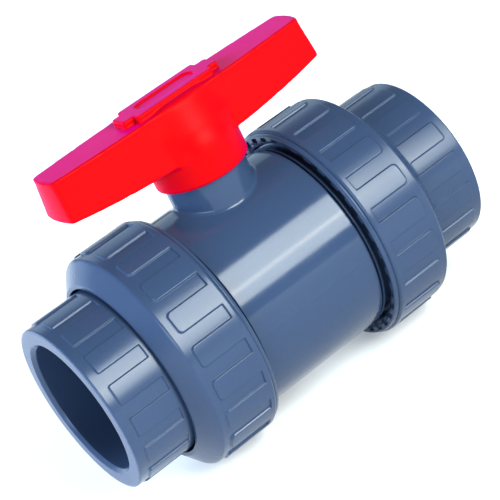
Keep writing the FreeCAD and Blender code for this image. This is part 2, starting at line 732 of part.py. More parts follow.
# ---------------------------------------------------------------- handle


def make_handle():
    """The handle: a bowed bar on a collar, with the spanner pad on top and pockets underneath."""
    body = new_body("handle")
    levels = (
        ("lower", "handle_base", "bar_half_low", "bar_width_low"),
        ("upper", "handle_top", "bar_half", "bar_width"),
    )
    bows = {0: "bar_side_bow", 1: "bar_end_bow", 2: "bar_side_bow", 3: "bar_end_bow"}
    outlines = []
    for name, height, half_length, half_width in levels:
        sketch = new_sketch(body, f"bar_{name}", "XY_Plane", height)
        outline(sketch, rectangle(half_length, half_width), bows)
        outlines.append(sketch)
    bar = body.newObject("PartDesign::AdditiveLoft", "bar")
    bar.Profile = outlines[0]
    bar.Sections = [outlines[1]]
    bar.Ruled = True
    doc.recompute()
    under = new_sketch(body, "bar_under", "XZ_Plane")
    outline(under, [
        ("-(bar_half_low + 4 * overcut)", "collar_bottom"),
        ("bar_half_low + 4 * overcut", "collar_bottom"),
        ("bar_half_low + 4 * overcut", "under_tip"),
        ("-(bar_half_low + 4 * overcut)", "under_tip"),
    ], {2: "-(under_tip - under_centre)"})
    doc.recompute()
    hollowed(body, "bar_underside", under, "6 * bar_width_low", both_ways=True)
    low = number("bar_width")
    rounded(body, "bar_edges", "bar_edge", lambda edge: edge.BoundBox.ZMax > number("handle_top") - 0.1
            and max(abs(p.y) for p in samples(edge)) > low / 2)
    boss = [
        ("0", "collar_bottom"),
        ("collar_radius", "collar_bottom"),
        ("collar_radius", "collar_top"),
        ("boss_radius", "boss_top"),
        ("0", "boss_top"),
    ]
    turned(body, "collar", boss, "V")
    hollow = [
        ("0", "collar_bottom - overcut"),
        ("collar_bore", "collar_bottom - overcut"),
        ("collar_bore", "collar_roof"),
        ("0", "collar_roof"),
    ]
    turned_away(body, "collar_hollow", hollow, "V")
    stop = [
        ("stop_inner", "neck_top + stop_gap"),
        ("stop_outer", "neck_top + stop_gap"),
        ("stop_outer", "collar_roof + overlap"),
        ("stop_inner", "collar_roof + overlap"),
    ]
    lug = turned(body, "handle_stop", stop, "V", "handle_stop_angle", "handle_stop_turn")
    ringed(body, "handle_stops", lug, "Z_Axis", "2")
    head_socket(body)
    lightening_pockets(body)
    spanner_pad(body)
    return body


def head_socket(body):
    """Blind socket with two flats for the stem head."""
    sketch = new_sketch(body, "head_socket_outline", "XY_Plane", "collar_roof - overcut")
    radius = "(stem_radius + head_gap)"
    flat = "(stem_flat + head_gap)"
    half = f"sqrt({radius}^2 - {flat}^2)"
    corners = [(f"-{flat}", f"-{half}"), (flat, f"-{half}"), (flat, half), (f"-{flat}", half)]
    outline(sketch, corners, {0: f"{radius} - {half}", 2: f"{radius} - {half}"})
    doc.recompute()
    hollowed(body, "head_socket", sketch, "stem_top + head_gap - (collar_roof - overcut)")


def lightening_pockets(body):
    """A hollow under each wing that leaves an even wall, with low ribs across its roof."""
    span = "(core_count - 1) * core_step + core_length"
    for side, word in ((-1, "left"), (1, "right")):
        pocket(body, side, f"wing_hollow_{word}", "core_start", span, "rib_bottom")
        for index in range(int(number("core_count"))):
            start = f"core_start + {index} * core_step"
            name = f"roof_pocket_{word}_{index + 1}"
            pocket(body, side, name, start, "core_length", "handle_top - core_wall")


def pocket(body, side, name, start, length, roof):
    """A rectangular pocket from below, from a distance along the bar and up to the height roof."""
    sketch = new_sketch(body, f"{name}_outline", "XY_Plane", "collar_bottom")
    corners = [
        (start, "-core_half_width"),
        (f"{start} + {length}", "-core_half_width"),
        (f"{start} + {length}", "core_half_width"),
        (start, "core_half_width"),
    ]
    outline(sketch, corners if side > 0 else mirrored(side, corners)[::-1])
    doc.recompute()
    hollowed(body, name, sketch, f"{roof} - collar_bottom")


def spanner_pad(body):
    """Raised pad whose two noses fit the slots of the seat carrier."""
    sketch = new_sketch(body, "spanner_outline", "XY_Plane", "handle_top - overlap")
    half = [
        ("key_shoulder", "-key_half_width"),
        ("key_shoulder + key_lead", "-key_nose"),
        ("key_half_length", "-key_nose"),
        ("key_half_length", "key_nose"),
        ("key_shoulder + key_lead", "key_nose"),
        ("key_shoulder", "key_half_width"),
    ]
    outline(sketch, half + mirrored(-1, half)[::-1])
    raised(body, "spanner_pad", sketch, "key_height + overlap")
    doc.recompute()
    top = number("handle_top")
    rounded(body, "spanner_corners", "key_corner", lambda edge: len(edge.Vertexes) == 2
            and edge.BoundBox.XLength < 0.01 and edge.BoundBox.YLength < 0.01
            and near(edge.BoundBox.ZMin, top) and edge.BoundBox.ZLength > 1)


# ---------------------------------------------------------------- the whole valve


def joined(name, base, *extras):
    """Fuse a body with its thread ridges into one sub-part."""
    item = doc.addObject("Part::MultiFuse", name)
    item.Shapes = [base, *extras]
    item.Refine = False
    item.Label = name
    return item


def build():
    """Make every sub-part and return them in order."""
    parts = [make_casing_with_threads(), make_ball(), make_stem()]
    for word, height in (("lower", "stem_seal_low"), ("upper", "stem_seal_high")):
        mean = "groove_radius + stem_seal_section"
        parts.append(seal(f"stem_seal_{word}", mean, "stem_seal_section", height, turn_to_pipe=False))
    bore = "stem_radius + thrust_gap"
    parts.append(bushing("thrust_ring", "stem_flange", bore, "stem_flange_top", "thrust_top"))
    parts.append(bushing("stem_bush", "bush_radius", "bush_bore", "bush_bottom", "neck_top"))
    for side, word in ((-1, "left"), (1, "right")):
        parts.append(make_seat(side, f"seat_{word}"))
        place = f"{side} * (seat_back + seat_seal_section)"
        parts.append(seal(f"seat_seal_{word}", "seat_seal_mean", "seat_seal_section", place))
        place = f"{side} * (joint_face - face_seal_section)"
        parts.append(seal(f"face_seal_{word}", "face_seal_mean", "face_seal_section", place))
        parts.append(make_connector(side, f"end_connector_{word}"))
        parts.append(make_threaded_nut(side, f"union_nut_{word}"))
    parts.append(make_seat_carrier())
    mean = "cavity_radius - carrier_seal_section"
    parts.append(seal("carrier_seal", mean, "carrier_seal_section", "carrier_seal_reach"))
    parts.append(make_handle())
    return parts


def make_casing_with_threads():
    """The casing with a right-handed thread ridge on each spigot."""
    casing = make_casing()
    turns = number("thread_length / thread_pitch")
    ridges = []
    for side, word in ((-1, "left"), (1, "right")):
        sizes = (number("spigot_radius"), number("thread_crest"), number("thread_embed"))
        ridges.append(thread_ridge(f"casing_thread_{word}", side, number("thread_start"), turns, *sizes))
    return joined("valve_body", casing, *ridges)


def make_threaded_nut(side, name):
    """A union nut with the thread ridge that lies half a pitch from the casing's."""
    shell = make_nut(side, name)
    turns = number("thread_length / thread_pitch") - 0.5
    start = number("thread_start + thread_pitch / 2")
    sizes = (number("nut_root"), number("nut_crest"), -number("thread_embed"))
    ridge = thread_ridge(f"{name}_thread", side, start, turns, *sizes)
    return joined(name, shell, ridge)


def verify(parts):
    """Stop on any failed object, empty or broken shape, or sub-part that isn't one solid."""
    for item in doc.Objects:
        if "Invalid" in item.State or "Error" in item.State:
            raise RuntimeError(f"{item.Label} failed: {item.State}")
    for item in parts:
        shape = item.Shape
        if shape.isNull() or not shape.isValid() or len(shape.Solids) != 1:
            raise RuntimeError(f"{item.Label} is not one valid solid")


def export(parts):
    os.makedirs("parts", exist_ok=True)
    for item in parts:
        item.Shape.exportStep(f"parts/{item.Label}.step")
        print(f"{item.Label}: {item.Shape.Volume / 1000:.2f} cm3")


fill_sheet()
valve_parts = build()
doc.recompute()
verify(valve_parts)
export(valve_parts)
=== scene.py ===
"""Union ball valve in blue-grey PVC with a red lever handle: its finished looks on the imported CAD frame.

Lengths named below are millimetres in the frame of the part: the origin is where the pipe axis
crosses the stem axis, X runs along the pipe and Z up the stem. Angles round the pipe are degrees
from the top, growing towards -Y. Points are worked out in millimetres and become metres when a
mesh is made.
"""

import json
import math

import bpy
import numpy as np
from mathutils import Matrix, Vector


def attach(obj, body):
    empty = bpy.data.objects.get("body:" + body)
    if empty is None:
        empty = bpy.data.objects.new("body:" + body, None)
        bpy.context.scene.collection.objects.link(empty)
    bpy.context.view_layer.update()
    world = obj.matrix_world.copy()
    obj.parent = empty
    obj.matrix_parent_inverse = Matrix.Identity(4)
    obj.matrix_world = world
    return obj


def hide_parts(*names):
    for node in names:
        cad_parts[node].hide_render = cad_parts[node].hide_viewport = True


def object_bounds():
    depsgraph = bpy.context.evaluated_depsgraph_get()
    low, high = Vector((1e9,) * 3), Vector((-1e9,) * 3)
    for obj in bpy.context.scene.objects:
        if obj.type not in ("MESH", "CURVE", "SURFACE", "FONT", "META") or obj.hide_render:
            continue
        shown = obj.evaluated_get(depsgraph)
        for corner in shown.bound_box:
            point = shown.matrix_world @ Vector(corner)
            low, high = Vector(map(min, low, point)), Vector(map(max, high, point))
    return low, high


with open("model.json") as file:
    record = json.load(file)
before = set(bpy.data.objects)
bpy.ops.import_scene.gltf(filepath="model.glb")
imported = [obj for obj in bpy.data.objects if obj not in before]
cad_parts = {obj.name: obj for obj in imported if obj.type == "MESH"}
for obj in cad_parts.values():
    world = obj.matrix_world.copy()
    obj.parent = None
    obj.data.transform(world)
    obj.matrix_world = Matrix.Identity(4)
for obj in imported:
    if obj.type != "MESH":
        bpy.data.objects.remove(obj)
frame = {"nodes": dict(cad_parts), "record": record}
cad_low, cad_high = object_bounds()

MM = 0.001

# ---------------------------------------------------------------- materials


def link(tree, source, target):
    """Join one node's socket to another's."""
    tree.links.new(source, target)


def noise_node(tree, place, scale, detail=3.0, roughness=0.55):
    """Noise over the object's own coordinates, scale in features per metre."""
    node = tree.nodes.new("ShaderNodeTexNoise")
    node.inputs["Scale"].default_value = scale
    node.inputs["Detail"].default_value = detail
    node.inputs["Roughness"].default_value = roughness
    link(tree, place, node.inputs["Vector"])
    return node.outputs["Fac"]


def spread(tree, factor, low, high):
    """The factor 0 to 1 turned into a value between low and high."""
    node = tree.nodes.new("ShaderNodeMapRange")
    node.inputs["From Min"].default_value = 0.25
    node.inputs["From Max"].default_value = 0.75
    node.inputs["To Min"].default_value = low
    node.inputs["To Max"].default_value = high
    link(tree, factor, node.inputs["Value"])
    return node.outputs["Result"]


def mixed(tree, factor, first, second):
    """Colour between two colours or sockets."""
    node = tree.nodes.new("ShaderNodeMix")
    node.data_type = "RGBA"
    link(tree, factor, node.inputs[0])
    for socket, value in ((node.inputs[6], first), (node.inputs[7], second)):
        if isinstance(value, tuple):
            socket.default_value = (*value, 1.0)
        else:
            link(tree, value, socket)
    return node.outputs[2]


def bumped(tree, height, distance, before=None):
    """Normal of a surface raised by height times distance, over an earlier bump."""
    node = tree.nodes.new("ShaderNodeBump")
    node.inputs["Distance"].default_value = distance
    node.inputs["Strength"].default_value = 1.0
    link(tree, height, node.inputs["Height"])
    if before is not None:
        link(tree, before, node.inputs["Normal"])
    return node.outputs["Normal"]


CLOUDS, SPECKS, GLOSS_WAVES, PEEL_WAVES, GRAIN_WAVES = 28.0, 900.0, 60.0, 130.0, 1500.0
SPECK_GAIN, SPECK_SHARE = 1.6, 0.12


def moulded(name, colour, shade, gloss, peel, grain, optics):
    """Moulded plastic: cloudy colour with pale specks, uneven gloss, orange peel and a fine grain."""
    material = bpy.data.materials.new(name)
    material.use_nodes = True
    tree = material.node_tree
    shader = tree.nodes["Principled BSDF"]
    place = tree.nodes.new("ShaderNodeTexCoord").outputs["Object"]
    clouds = noise_node(tree, place, CLOUDS, 4.0)
    specks = noise_node(tree, place, SPECKS, 2.0)
    body = mixed(tree, clouds, colour, shade)
    faint = spread(tree, specks, 0.0, SPECK_SHARE)
    pale = tuple(min(1.0, c * SPECK_GAIN) for c in colour)
    link(tree, mixed(tree, faint, body, pale), shader.inputs["Base Color"])
    waves = noise_node(tree, place, GLOSS_WAVES, 5.0)
    link(tree, spread(tree, waves, *gloss), shader.inputs["Roughness"])
    wavy = bumped(tree, noise_node(tree, place, PEEL_WAVES, 1.0), peel)
    grainy = bumped(tree, noise_node(tree, place, GRAIN_WAVES, 2.0), grain, wavy)
    link(tree, grainy, shader.inputs["Normal"])
    for socket, value in optics.items():
        shader.inputs[socket].default_value = value
    return material


PVC_BLUE = (0.033, 0.056, 0.112)
PVC_SHADE = (0.029, 0.050, 0.101)
RED = (0.44, 0.0006, 0.0012)
RED_SHADE = (0.41, 0.0006, 0.0012)
PVC_OPTICS = {"IOR": 1.36}
RED_OPTICS = {
    "Specular IOR Level": 0.05,
    "Sheen Weight": 0.3,
    "Sheen Roughness": 0.4,
    "Sheen Tint": (0.3, 0.0, 1.0, 1.0),
}

# Colour, shade of its clouds, span of roughness, heights of the orange peel and of the grain in
# metres, and the shader's uniform values.
FINISHES = {
    "casing_pvc": (PVC_BLUE, PVC_SHADE, (0.11, 0.16), 4e-6, 4e-7, PVC_OPTICS),
    "connector_pvc": (PVC_BLUE, PVC_SHADE, (0.2, 0.26), 5e-6, 5e-7, PVC_OPTICS),
    "nut_pvc": (PVC_BLUE, PVC_SHADE, (0.2, 0.26), 5e-6, 5e-7, PVC_OPTICS),
    "ball_pvc": ((0.075, 0.12, 0.23), (0.06, 0.1, 0.2), (0.1, 0.16), 2e-6, 2e-7, {}),
    "stem_pvc": (PVC_BLUE, PVC_SHADE, (0.22, 0.3), 5e-6, 5e-7, PVC_OPTICS),
    "handle_red": (RED, RED_SHADE, (0.36, 0.44), 6e-6, 6e-7, RED_OPTICS),
    "seat_ptfe": ((0.78, 0.77, 0.73), (0.72, 0.71, 0.67), (0.4, 0.5), 4e-6, 1e-6, {}),
    "seal_rubber": ((0.012, 0.012, 0.013), (0.02, 0.02, 0.021), (0.45, 0.6), 4e-6, 2e-6, {}),
    "bush_pom": ((0.62, 0.6, 0.54), (0.56, 0.54, 0.49), (0.3, 0.4), 4e-6, 1e-6, {}),
}

materials = {slot: moulded(slot, *finish) for slot, finish in FINISHES.items()}


def dress(thing, slot_name):
    """Give a piece the finish of one material slot of the record."""
    thing.data.materials.clear()
    thing.data.materials.append(materials[slot_name])


def dress_frame():
    """Put the finishes on the CAD nodes that stay in view."""
    slots = {}
    for part in frame["record"]["subparts"]:
        slots[part["node"]] = part["material_slot"]
    for name, thing in frame["nodes"].items():
        for slot in thing.material_slots:
            slot.material = materials[slots[name]]


# ---------------------------------------------------------------- the studio

VIEW_POINT = Vector((4.64, 3.57, 11.45)) * MM
VIEW_AZIMUTH = 23.53
VIEW_ELEVATION = 24.11
VIEW_ROLL = 26.15
VIEW_DISTANCE = 0.7974
LENS = 129.77


def towards(azimuth, elevation):
    """Unit vector from the part to a point seen at that azimuth from -Y and that elevation."""
    a, e = math.radians(azimuth), math.radians(elevation)
    return Vector((math.sin(a) * math.cos(e), -math.cos(a) * math.cos(e), math.sin(e)))


def make_camera():
    """Long lens that looks down on the left end of the pipe, with the horizon turned."""
    camera = bpy.data.objects.new("camera", bpy.data.cameras.new("camera"))
    bpy.context.collection.objects.link(camera)
    back = towards(-VIEW_AZIMUTH, VIEW_ELEVATION)
    turn = (-back).to_track_quat("-Z", "Y").to_matrix().to_4x4()
    roll = Matrix.Rotation(math.radians(-VIEW_ROLL), 4, "Z")
    camera.matrix_world = Matrix.Translation(VIEW_POINT + back * VIEW_DISTANCE) @ turn @ roll
    camera.data.lens = LENS
    camera.data.clip_start = 0.01
    bpy.context.scene.camera = camera


def make_panel(name, azimuth, elevation, distance, size, radiance, colour=(1, 1, 1), mirrored=True):
    """A soft rectangular light that faces the part.

    Radiance is how bright its face looks; glossy surfaces reflect it only if it is mirrored.
    """
    light = bpy.data.lights.new(name, "AREA")
    light.shape = "RECTANGLE"
    light.size, light.size_y = size
    light.energy = radiance * math.pi * size[0] * size[1]
    light.color = colour
    lamp = bpy.data.objects.new(name, light)
    back = towards(azimuth, elevation)
    facing = back.to_track_quat("Z", "Y").to_matrix().to_4x4()
    lamp.matrix_world = Matrix.Translation(back * distance) @ facing
    lamp.visible_glossy = mirrored
    bpy.context.collection.objects.link(lamp)


FLOOR_HALF = 6.0


def make_floor():
    """A plain pale floor that the nuts rest on."""
    half = FLOOR_HALF
    level = cad_low.z
    mesh = bpy.data.meshes.new("floor")
    corners = [(-half, -half, level), (half, -half, level), (half, half, level), (-half, half, level)]
    mesh.from_pydata(corners, [], [(0, 1, 2, 3)])
    floor = bpy.data.objects.new("floor", mesh)
    bpy.context.collection.objects.link(floor)
    material = bpy.data.materials.new("floor")
    material.use_nodes = True
    shader = material.node_tree.nodes["Principled BSDF"]
    shader.inputs["Base Color"].default_value = (0.78, 0.78, 0.78, 1)
    shader.inputs["Roughness"].default_value = 1.0
    shader.inputs["Emission Color"].default_value = (1, 1, 1, 1)
    shader.inputs["Emission Strength"].default_value = 0.2
    mesh.materials.append(material)


def make_studio():
    """World, lights, floor and camera."""
    scene = bpy.context.scene
    scene.view_settings.view_transform = "Standard"
    scene.view_settings.gamma = 0.9
    world = bpy.data.worlds.new("studio")
    world.use_nodes = True
    background = world.node_tree.nodes["Background"]
    background.inputs["Color"].default_value = (0.93, 0.96, 1.0, 1)
    background.inputs["Strength"].default_value = 0.24
    scene.world = world
    make_panel("key_panel", 19.0, 31.0, 2.2, (1.15, 1.45), 18.0, (0.93, 1.0, 0.97))
    make_panel("key_core", 19.0, 27.0, 2.15, (1.15, 0.14), 10.0, (1.0, 0.92, 0.7))
    make_panel("left_panel", -125.0, 16.0, 1.7, (1.6, 0.7), 23.0, (0.74, 0.88, 1.0), mirrored=False)
    make_panel("low_left_panel", -60.0, 14.0, 1.8, (1.4, 0.6), 8.0, (0.74, 0.88, 1.0))
    make_panel("back_panel", 156.0, 20.0, 2.0, (2.0, 1.0), 1.3, (0.62, 0.83, 1.0))
    make_panel("side_panel", -155.0, 5.0, 2.0, (0.9, 0.5), 1.6, (0.62, 0.83, 1.0))
    make_floor()
    make_camera()


# ---------------------------------------------------------------- meshes


def enclosed_volume(points, quads):
    """Volume inside a closed mesh, below zero where its faces look inwards."""
    a, b, c, d = (points[quads[:, i]] for i in range(4))
    return float((np.cross(a, b) * c).sum() + (np.cross(a, c) * d).sum()) / 6


def add_piece(name, points, quads, slot_name, body):
    """A smooth closed mesh from points in millimetres, facing outwards, riding on a CAD body."""
    if enclosed_volume(points, quads) < 0:
        quads = quads[:, ::-1]
    mesh = bpy.data.meshes.new(name)
    mesh.from_pydata((points * MM).tolist(), [], quads.tolist())
    mesh.polygons.foreach_set("use_smooth", np.ones(len(mesh.polygons), dtype=bool))
    mesh.update()
    piece = bpy.data.objects.new(name, mesh)
    bpy.context.collection.objects.link(piece)
    dress(piece, slot_name)
    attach(piece, body)
    return piece


def wrapped_quads(rows, columns):
    """Faces of a grid that closes on itself both ways."""
    index = np.arange(rows * columns).reshape(rows, columns)
    below = np.roll(index, -1, axis=0)
    faces = np.stack([index, below, np.roll(below, -1, axis=1), np.roll(index, -1, axis=1)], axis=-1)
    return faces.reshape(-1, 4)


def graded(low, high, zones, fine, coarse, growth=0.4):
    """Places from low up to high, close together in the zones and wider apart away from them."""
    places = [low]
    while places[-1] < high:
        away = min(max(start - places[-1], places[-1] - end, 0.0) for start, end in zones)
        places.append(places[-1] + min(coarse, fine + growth * away))
    places = np.array(places)
    return low + (places - low) * (high - low) / (places[-1] - low)


ARC_STEP = math.radians(13)
END_SHARE = 0.003


def rounded_corner(before, corner, after, radius):
    """Points of the arc that rounds one corner of an outline."""
    if radius == 0:
        return [corner]
    one = (before - corner) / np.linalg.norm(before - corner)
    two = (after - corner) / np.linalg.norm(after - corner)
    half = math.acos(np.clip(one @ two, -1, 1)) / 2
    centre = corner + (one + two) / np.linalg.norm(one + two) * radius / math.sin(half)
    spoke = corner + one * radius / math.tan(half) - centre
    turn = math.copysign(math.pi - 2 * half, -(one[0] * two[1] - one[1] * two[0]))
    count = max(3, math.ceil(abs(turn) / ARC_STEP))
    points = []
    for i in range(count + 1):
        c, s = math.cos(turn * i / count), math.sin(turn * i / count)
        points.append(centre + np.array([c * spoke[0] - s * spoke[1], s * spoke[0] + c * spoke[1]]))
    return points


def outline(corners):
    """Closed outline through corners (x, r, rounding, gap).

    The gap is how far apart the points of the run to the next corner lie, or their places along x.
    """
    count = len(corners)
    spots = [np.array(c[:2], dtype=float) for c in corners]
    arcs = []
    for i in range(count):
        arcs.append(rounded_corner(spots[i - 1], spots[i], spots[(i + 1) % count], corners[i][2]))
    points = []
    for i, arc in enumerate(arcs):
        start, stop = arc[-1], arcs[(i + 1) % count][0]
        points += arc
        gap = corners[i][3]
        if isinstance(gap, float):
            steps = max(1, round(np.linalg.norm(stop - start) / gap))
            shares = np.arange(1, steps) / steps
        else:
            shares = (np.asarray(gap) - start[0]) / (stop[0] - start[0])
            shares = shares[(shares > END_SHARE) & (shares < 1 - END_SHARE)]
        points += [start + (stop - start) * share for share in shares]
    return np.array(points)


# ---------------------------------------------------------------- grips of connectors and nuts


class Grip:
    """A ring of raised fingers on a band, with slots between them that open at one end."""

    wall = 0.55
    inner_round = 0.5

    def __init__(self, count, slot_angle, radius, start, end, corner):
        self.count, self.radius, self.start, self.end, self.corner = count, radius, start, end, corner
        self.period = 2 * math.pi * radius / count
        self.slot_half = math.radians(slot_angle) / 2 * radius

    def height(self, x, angle):
        """0 in the slots and past their open end, 1 on the fingers; angle is from a slot's middle."""
        along = np.abs((np.radians(angle) * self.radius + self.period / 2) % self.period - self.period / 2)
        beside = self.period / 2 - along - (self.period / 2 - self.slot_half - self.corner)
        beyond = x - (self.end - self.corner)
        finger = np.hypot(np.maximum(beside, 0), np.maximum(beyond, 0)) - self.corner
        finger += np.minimum(np.maximum(beside, beyond), 0)
        plain = x - self.start
        near = np.clip(0.5 + (finger - plain) / (2 * self.inner_round), 0, 1)
        edge = finger + (plain - finger) * near - self.inner_round * near * (1 - near)
        rise = np.clip(0.5 - edge / self.wall, 0, 1)
        return rise * rise * (3 - 2 * rise)

    def angles(self):
        """Angles round the pipe, from a slot's middle, with most of them at the walls of the slots."""
        half = self.period / 2
        wall = (self.slot_half - self.wall * 0.6, self.slot_half + self.wall * 0.7)
        side = graded(0.0, half, [wall], 0.11, 1.3)
        places = np.concatenate([-side[:0:-1], side[:-1]])
        turns = np.arange(self.count)[:, None] * self.period + places[None, :]
        return np.degrees(turns.ravel() / self.radius)

    def reaches(self, low, high):
        """Places along the pipe, with most of them at the ends of the slots."""
        inner = (self.start - self.wall, self.start + self.wall)
        outer = (self.end - self.corner, self.end + self.wall / 2)
        return graded(low, high, [inner, outer], 0.14, 1.6)


def around_pipe(side, x, radius, angle):
    """Points (x, y, z) at a distance along the pipe, a radius and an angle from the top towards -Y."""
    a = np.radians(angle)
    return np.stack([side * x + 0 * a, -radius * np.sin(a) + 0 * x, radius * np.cos(a) + 0 * x], axis=-1)


FACE_REACH = float(cad_high.x) / MM
BARREL_LOW, BARREL_HIGH = 40.4, 41.2
JOINT_FACE, FLANGE_BACK = 57.5, 63.0
SOCKET_RADIUS, SOCKET_FLOOR, SOCKET_LEAD = 31.6, 62.0, 1.7
FLOW_RADIUS, FLANGE_RADIUS = 25.0, 45.0
BARREL_GRIP = Grip(16, 9.0, 41.0, 74.0, 95.0, 0.8)


def make_connector(side, name, body, turn):
    """End connector: socket for the pipe, gripped barrel, flange for the nut."""
    band = BARREL_GRIP.reaches(FLANGE_BACK + 1, FACE_REACH - 1.5)
    section = outline([
        (JOINT_FACE, FLOW_RADIUS, 0.5, 2.0),
        (JOINT_FACE, FLANGE_RADIUS, 1.2, 1.5),
        (FLANGE_BACK, FLANGE_RADIUS, 0.4, 1.5),
        (FLANGE_BACK, BARREL_HIGH, 0.6, band),
        (FACE_REACH, BARREL_HIGH, 2.2, 1.5),
        (FACE_REACH, SOCKET_RADIUS + SOCKET_LEAD, 0.5, 0.6),
        (FACE_REACH - SOCKET_LEAD, SOCKET_RADIUS, 0.6, 2.5),
        (SOCKET_FLOOR, SOCKET_RADIUS, 0.5, 2.0),
        (SOCKET_FLOOR, FLOW_RADIUS, 0.6, 1.5),
    ])
    angles = BARREL_GRIP.angles()
    x, radius = section[:, :1], section[:, 1:]
    drop = np.clip((radius - BARREL_LOW) / (BARREL_HIGH - BARREL_LOW), 0, 1) * (x > FLANGE_BACK + 0.1)
    lowered = (BARREL_HIGH - BARREL_LOW) * drop * (1 - BARREL_GRIP.height(x, angles[None, :]))
    points = around_pipe(side, x, radius - lowered, angles[None, :] + turn)
    shell = points.reshape(-1, 3), wrapped_quads(*points.shape[:2])
    piece = add_piece(f"{name}_shell", *shell, "connector_pvc", body)
    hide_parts(name)


NUT_HIGH, NUT_LOW, NUT_RIM, NUT_RIM_RADIUS, NUT_RIM_BEVEL = 54.2, 53.3, 34.0, 52.3, 1.9
NUT_MOUTH, NUT_MOUTH_DEPTH, NUT_ROOT, NUT_CREST = 50.2, 2.6, 47.4, 45.5
NUT_BAND_END, NUT_END, NUT_END_RADIUS, NUT_OPENING = 64.5, 71.9, 44.2, 42.3
NUT_GRIP = Grip(20, 7.2, 53.8, 39.4, 61.4, 2.0)
NOTCHES, NOTCH_ANGLE, NOTCH_DEPTH, NOTCH_RADIUS, NOTCH_WALL = 36, 5.0, 1.6, 51.6, 0.4
LIP_DEPTH, LIP_FACE, LIP_POINTS, HAIR = 0.35, 0.25, 15, 0.01
THREAD_PITCH, THREAD_START, FLANGE_GAP = 6.0, 36.2, 0.02


def resampled(corners, count):
    """Points at even distances along an open line of corners."""
    corners = np.array(corners, dtype=float)
    lengths = np.concatenate([[0], np.cumsum(np.linalg.norm(np.diff(corners, axis=0), axis=1))])
    places = np.linspace(0, lengths[-1], count)
    return np.stack([np.interp(places, lengths, corners[:, i]) for i in (0, 1)], axis=-1)


def notch_share(angles, turn):
    """1 where a rim notch is and 0 between notches, with short walls."""
    period = 360 / NOTCHES
    away = np.abs((angles - turn + period / 2) % period - period / 2)
    rise = np.clip(0.5 - np.radians(away - NOTCH_ANGLE / 2) * NUT_MOUTH / NOTCH_WALL, 0, 1)
    return rise * rise * (3 - 2 * rise)


def rim_points(share):
    """Rim from the inside of the nut to its front face: the plain lip, or the notch in it."""
    cone_slope = (NUT_MOUTH - NUT_ROOT) / NUT_MOUTH_DEPTH
    depth = NOTCH_DEPTH + LIP_DEPTH
    foot = (NUT_RIM + depth, NUT_MOUTH - cone_slope * depth)
    face = (NUT_RIM, NOTCH_RADIUS + LIP_FACE)
    floor = NUT_RIM + NOTCH_DEPTH
    plain = resampled([foot, (NUT_RIM, NUT_MOUTH), face], LIP_POINTS)
    notch = [foot, (floor, foot[1] + 0.4), (floor, NOTCH_RADIUS), (NUT_RIM, NOTCH_RADIUS), face]
    cut = resampled(notch, LIP_POINTS)
    return plain[:, None, :] * (1 - share[None, :, None]) + cut[:, None, :] * share[None, :, None]


def make_nut(side, name, body, turn, notch_turn):
    """Union nut: gripped skirt with a notched rim, cone shoulder and inner thread."""
    notch_edges = np.arange(NOTCHES)[:, None] * 360 / NOTCHES + notch_turn - turn
    wall = NOTCH_ANGLE / 2 + np.linspace(-NOTCH_WALL, NOTCH_WALL, 5)
    notch_angles = np.concatenate([(notch_edges - wall).ravel(), (notch_edges + wall).ravel()]) % 360
    angles = np.unique(np.round(np.concatenate([NUT_GRIP.angles() % 360, notch_angles]), 3))
    angles = angles[np.append(np.diff(angles) > 0.05, True)]
    section = outline([
        (NUT_RIM + 2, NUT_LOW, 0, 1.0),
        (NUT_RIM, NUT_RIM_RADIUS + 0.3, 0.5, 1.0),
        (NUT_RIM, NUT_MOUTH, 0.0, 1.0),
        (NUT_RIM + NUT_MOUTH_DEPTH, NUT_ROOT, 0.4, 2.0),
        (FLANGE_BACK + FLANGE_GAP, NUT_ROOT, 0.8, 1.5),
        (FLANGE_BACK + FLANGE_GAP, NUT_OPENING, 0.5, 2.0),
        (NUT_END, NUT_OPENING, 0.5, 0.6),
        (NUT_END, NUT_END_RADIUS, 0.9, 1.2),
        (NUT_BAND_END, NUT_HIGH, 1.2, NUT_GRIP.reaches(NUT_RIM + NUT_RIM_BEVEL, NUT_BAND_END)[::-1]),
        (NUT_RIM + NUT_RIM_BEVEL, NUT_HIGH, 1.4, 0.6),
    ])
    near_rim = section[:, 0] < NUT_RIM + NOTCH_DEPTH + LIP_DEPTH + HAIR
    lip = near_rim & (section[:, 1] < NOTCH_RADIUS + LIP_FACE + HAIR)
    first = int(np.argmax(lip))
    kept = section[~lip]
    share = notch_share(angles + turn, notch_turn)
    rim = rim_points(share)[::-1]
    plain = np.repeat(kept[:, None, :], len(angles), axis=1)
    rings = np.concatenate([plain[:first], rim, plain[first:]])
    x, radius = rings[..., 0], rings[..., 1]
    drop = np.clip((radius - NUT_LOW) / (NUT_HIGH - NUT_LOW), 0, 1) * (x > NUT_RIM + NUT_RIM_BEVEL)
    lowered = (NUT_HIGH - NUT_LOW) * drop * (1 - NUT_GRIP.height(x, angles[None, :]))
    points = around_pipe(side, x, radius - lowered, angles[None, :] + turn)
    shell = points.reshape(-1, 3), wrapped_quads(*points.shape[:2])
    ridge = thread_ridge(side, THREAD_START + THREAD_PITCH / 2, 2.5, NUT_ROOT, NUT_CREST)
    piece = add_piece(f"{name}_shell", *merged(shell, ridge), "nut_pvc", body)
    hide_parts(name)


def merged(*parts):
    """Several meshes as one."""
    points, quads, count = [], [], 0
    for part_points, part_quads in parts:
        points.append(part_points)
        quads.append(part_quads + count)
        count += len(part_points)
    return np.concatenate(points), np.concatenate(quads)


RIDGE_HALF_FOOT, RIDGE_HALF_CREST, RIDGE_SINK, RIDGE_EDGE = 1.95, 0.9, 0.3, 0.35
RIDGE_GAP, RIDGE_FADE, RIDGE_STEPS = 9.0, 25.0, 72


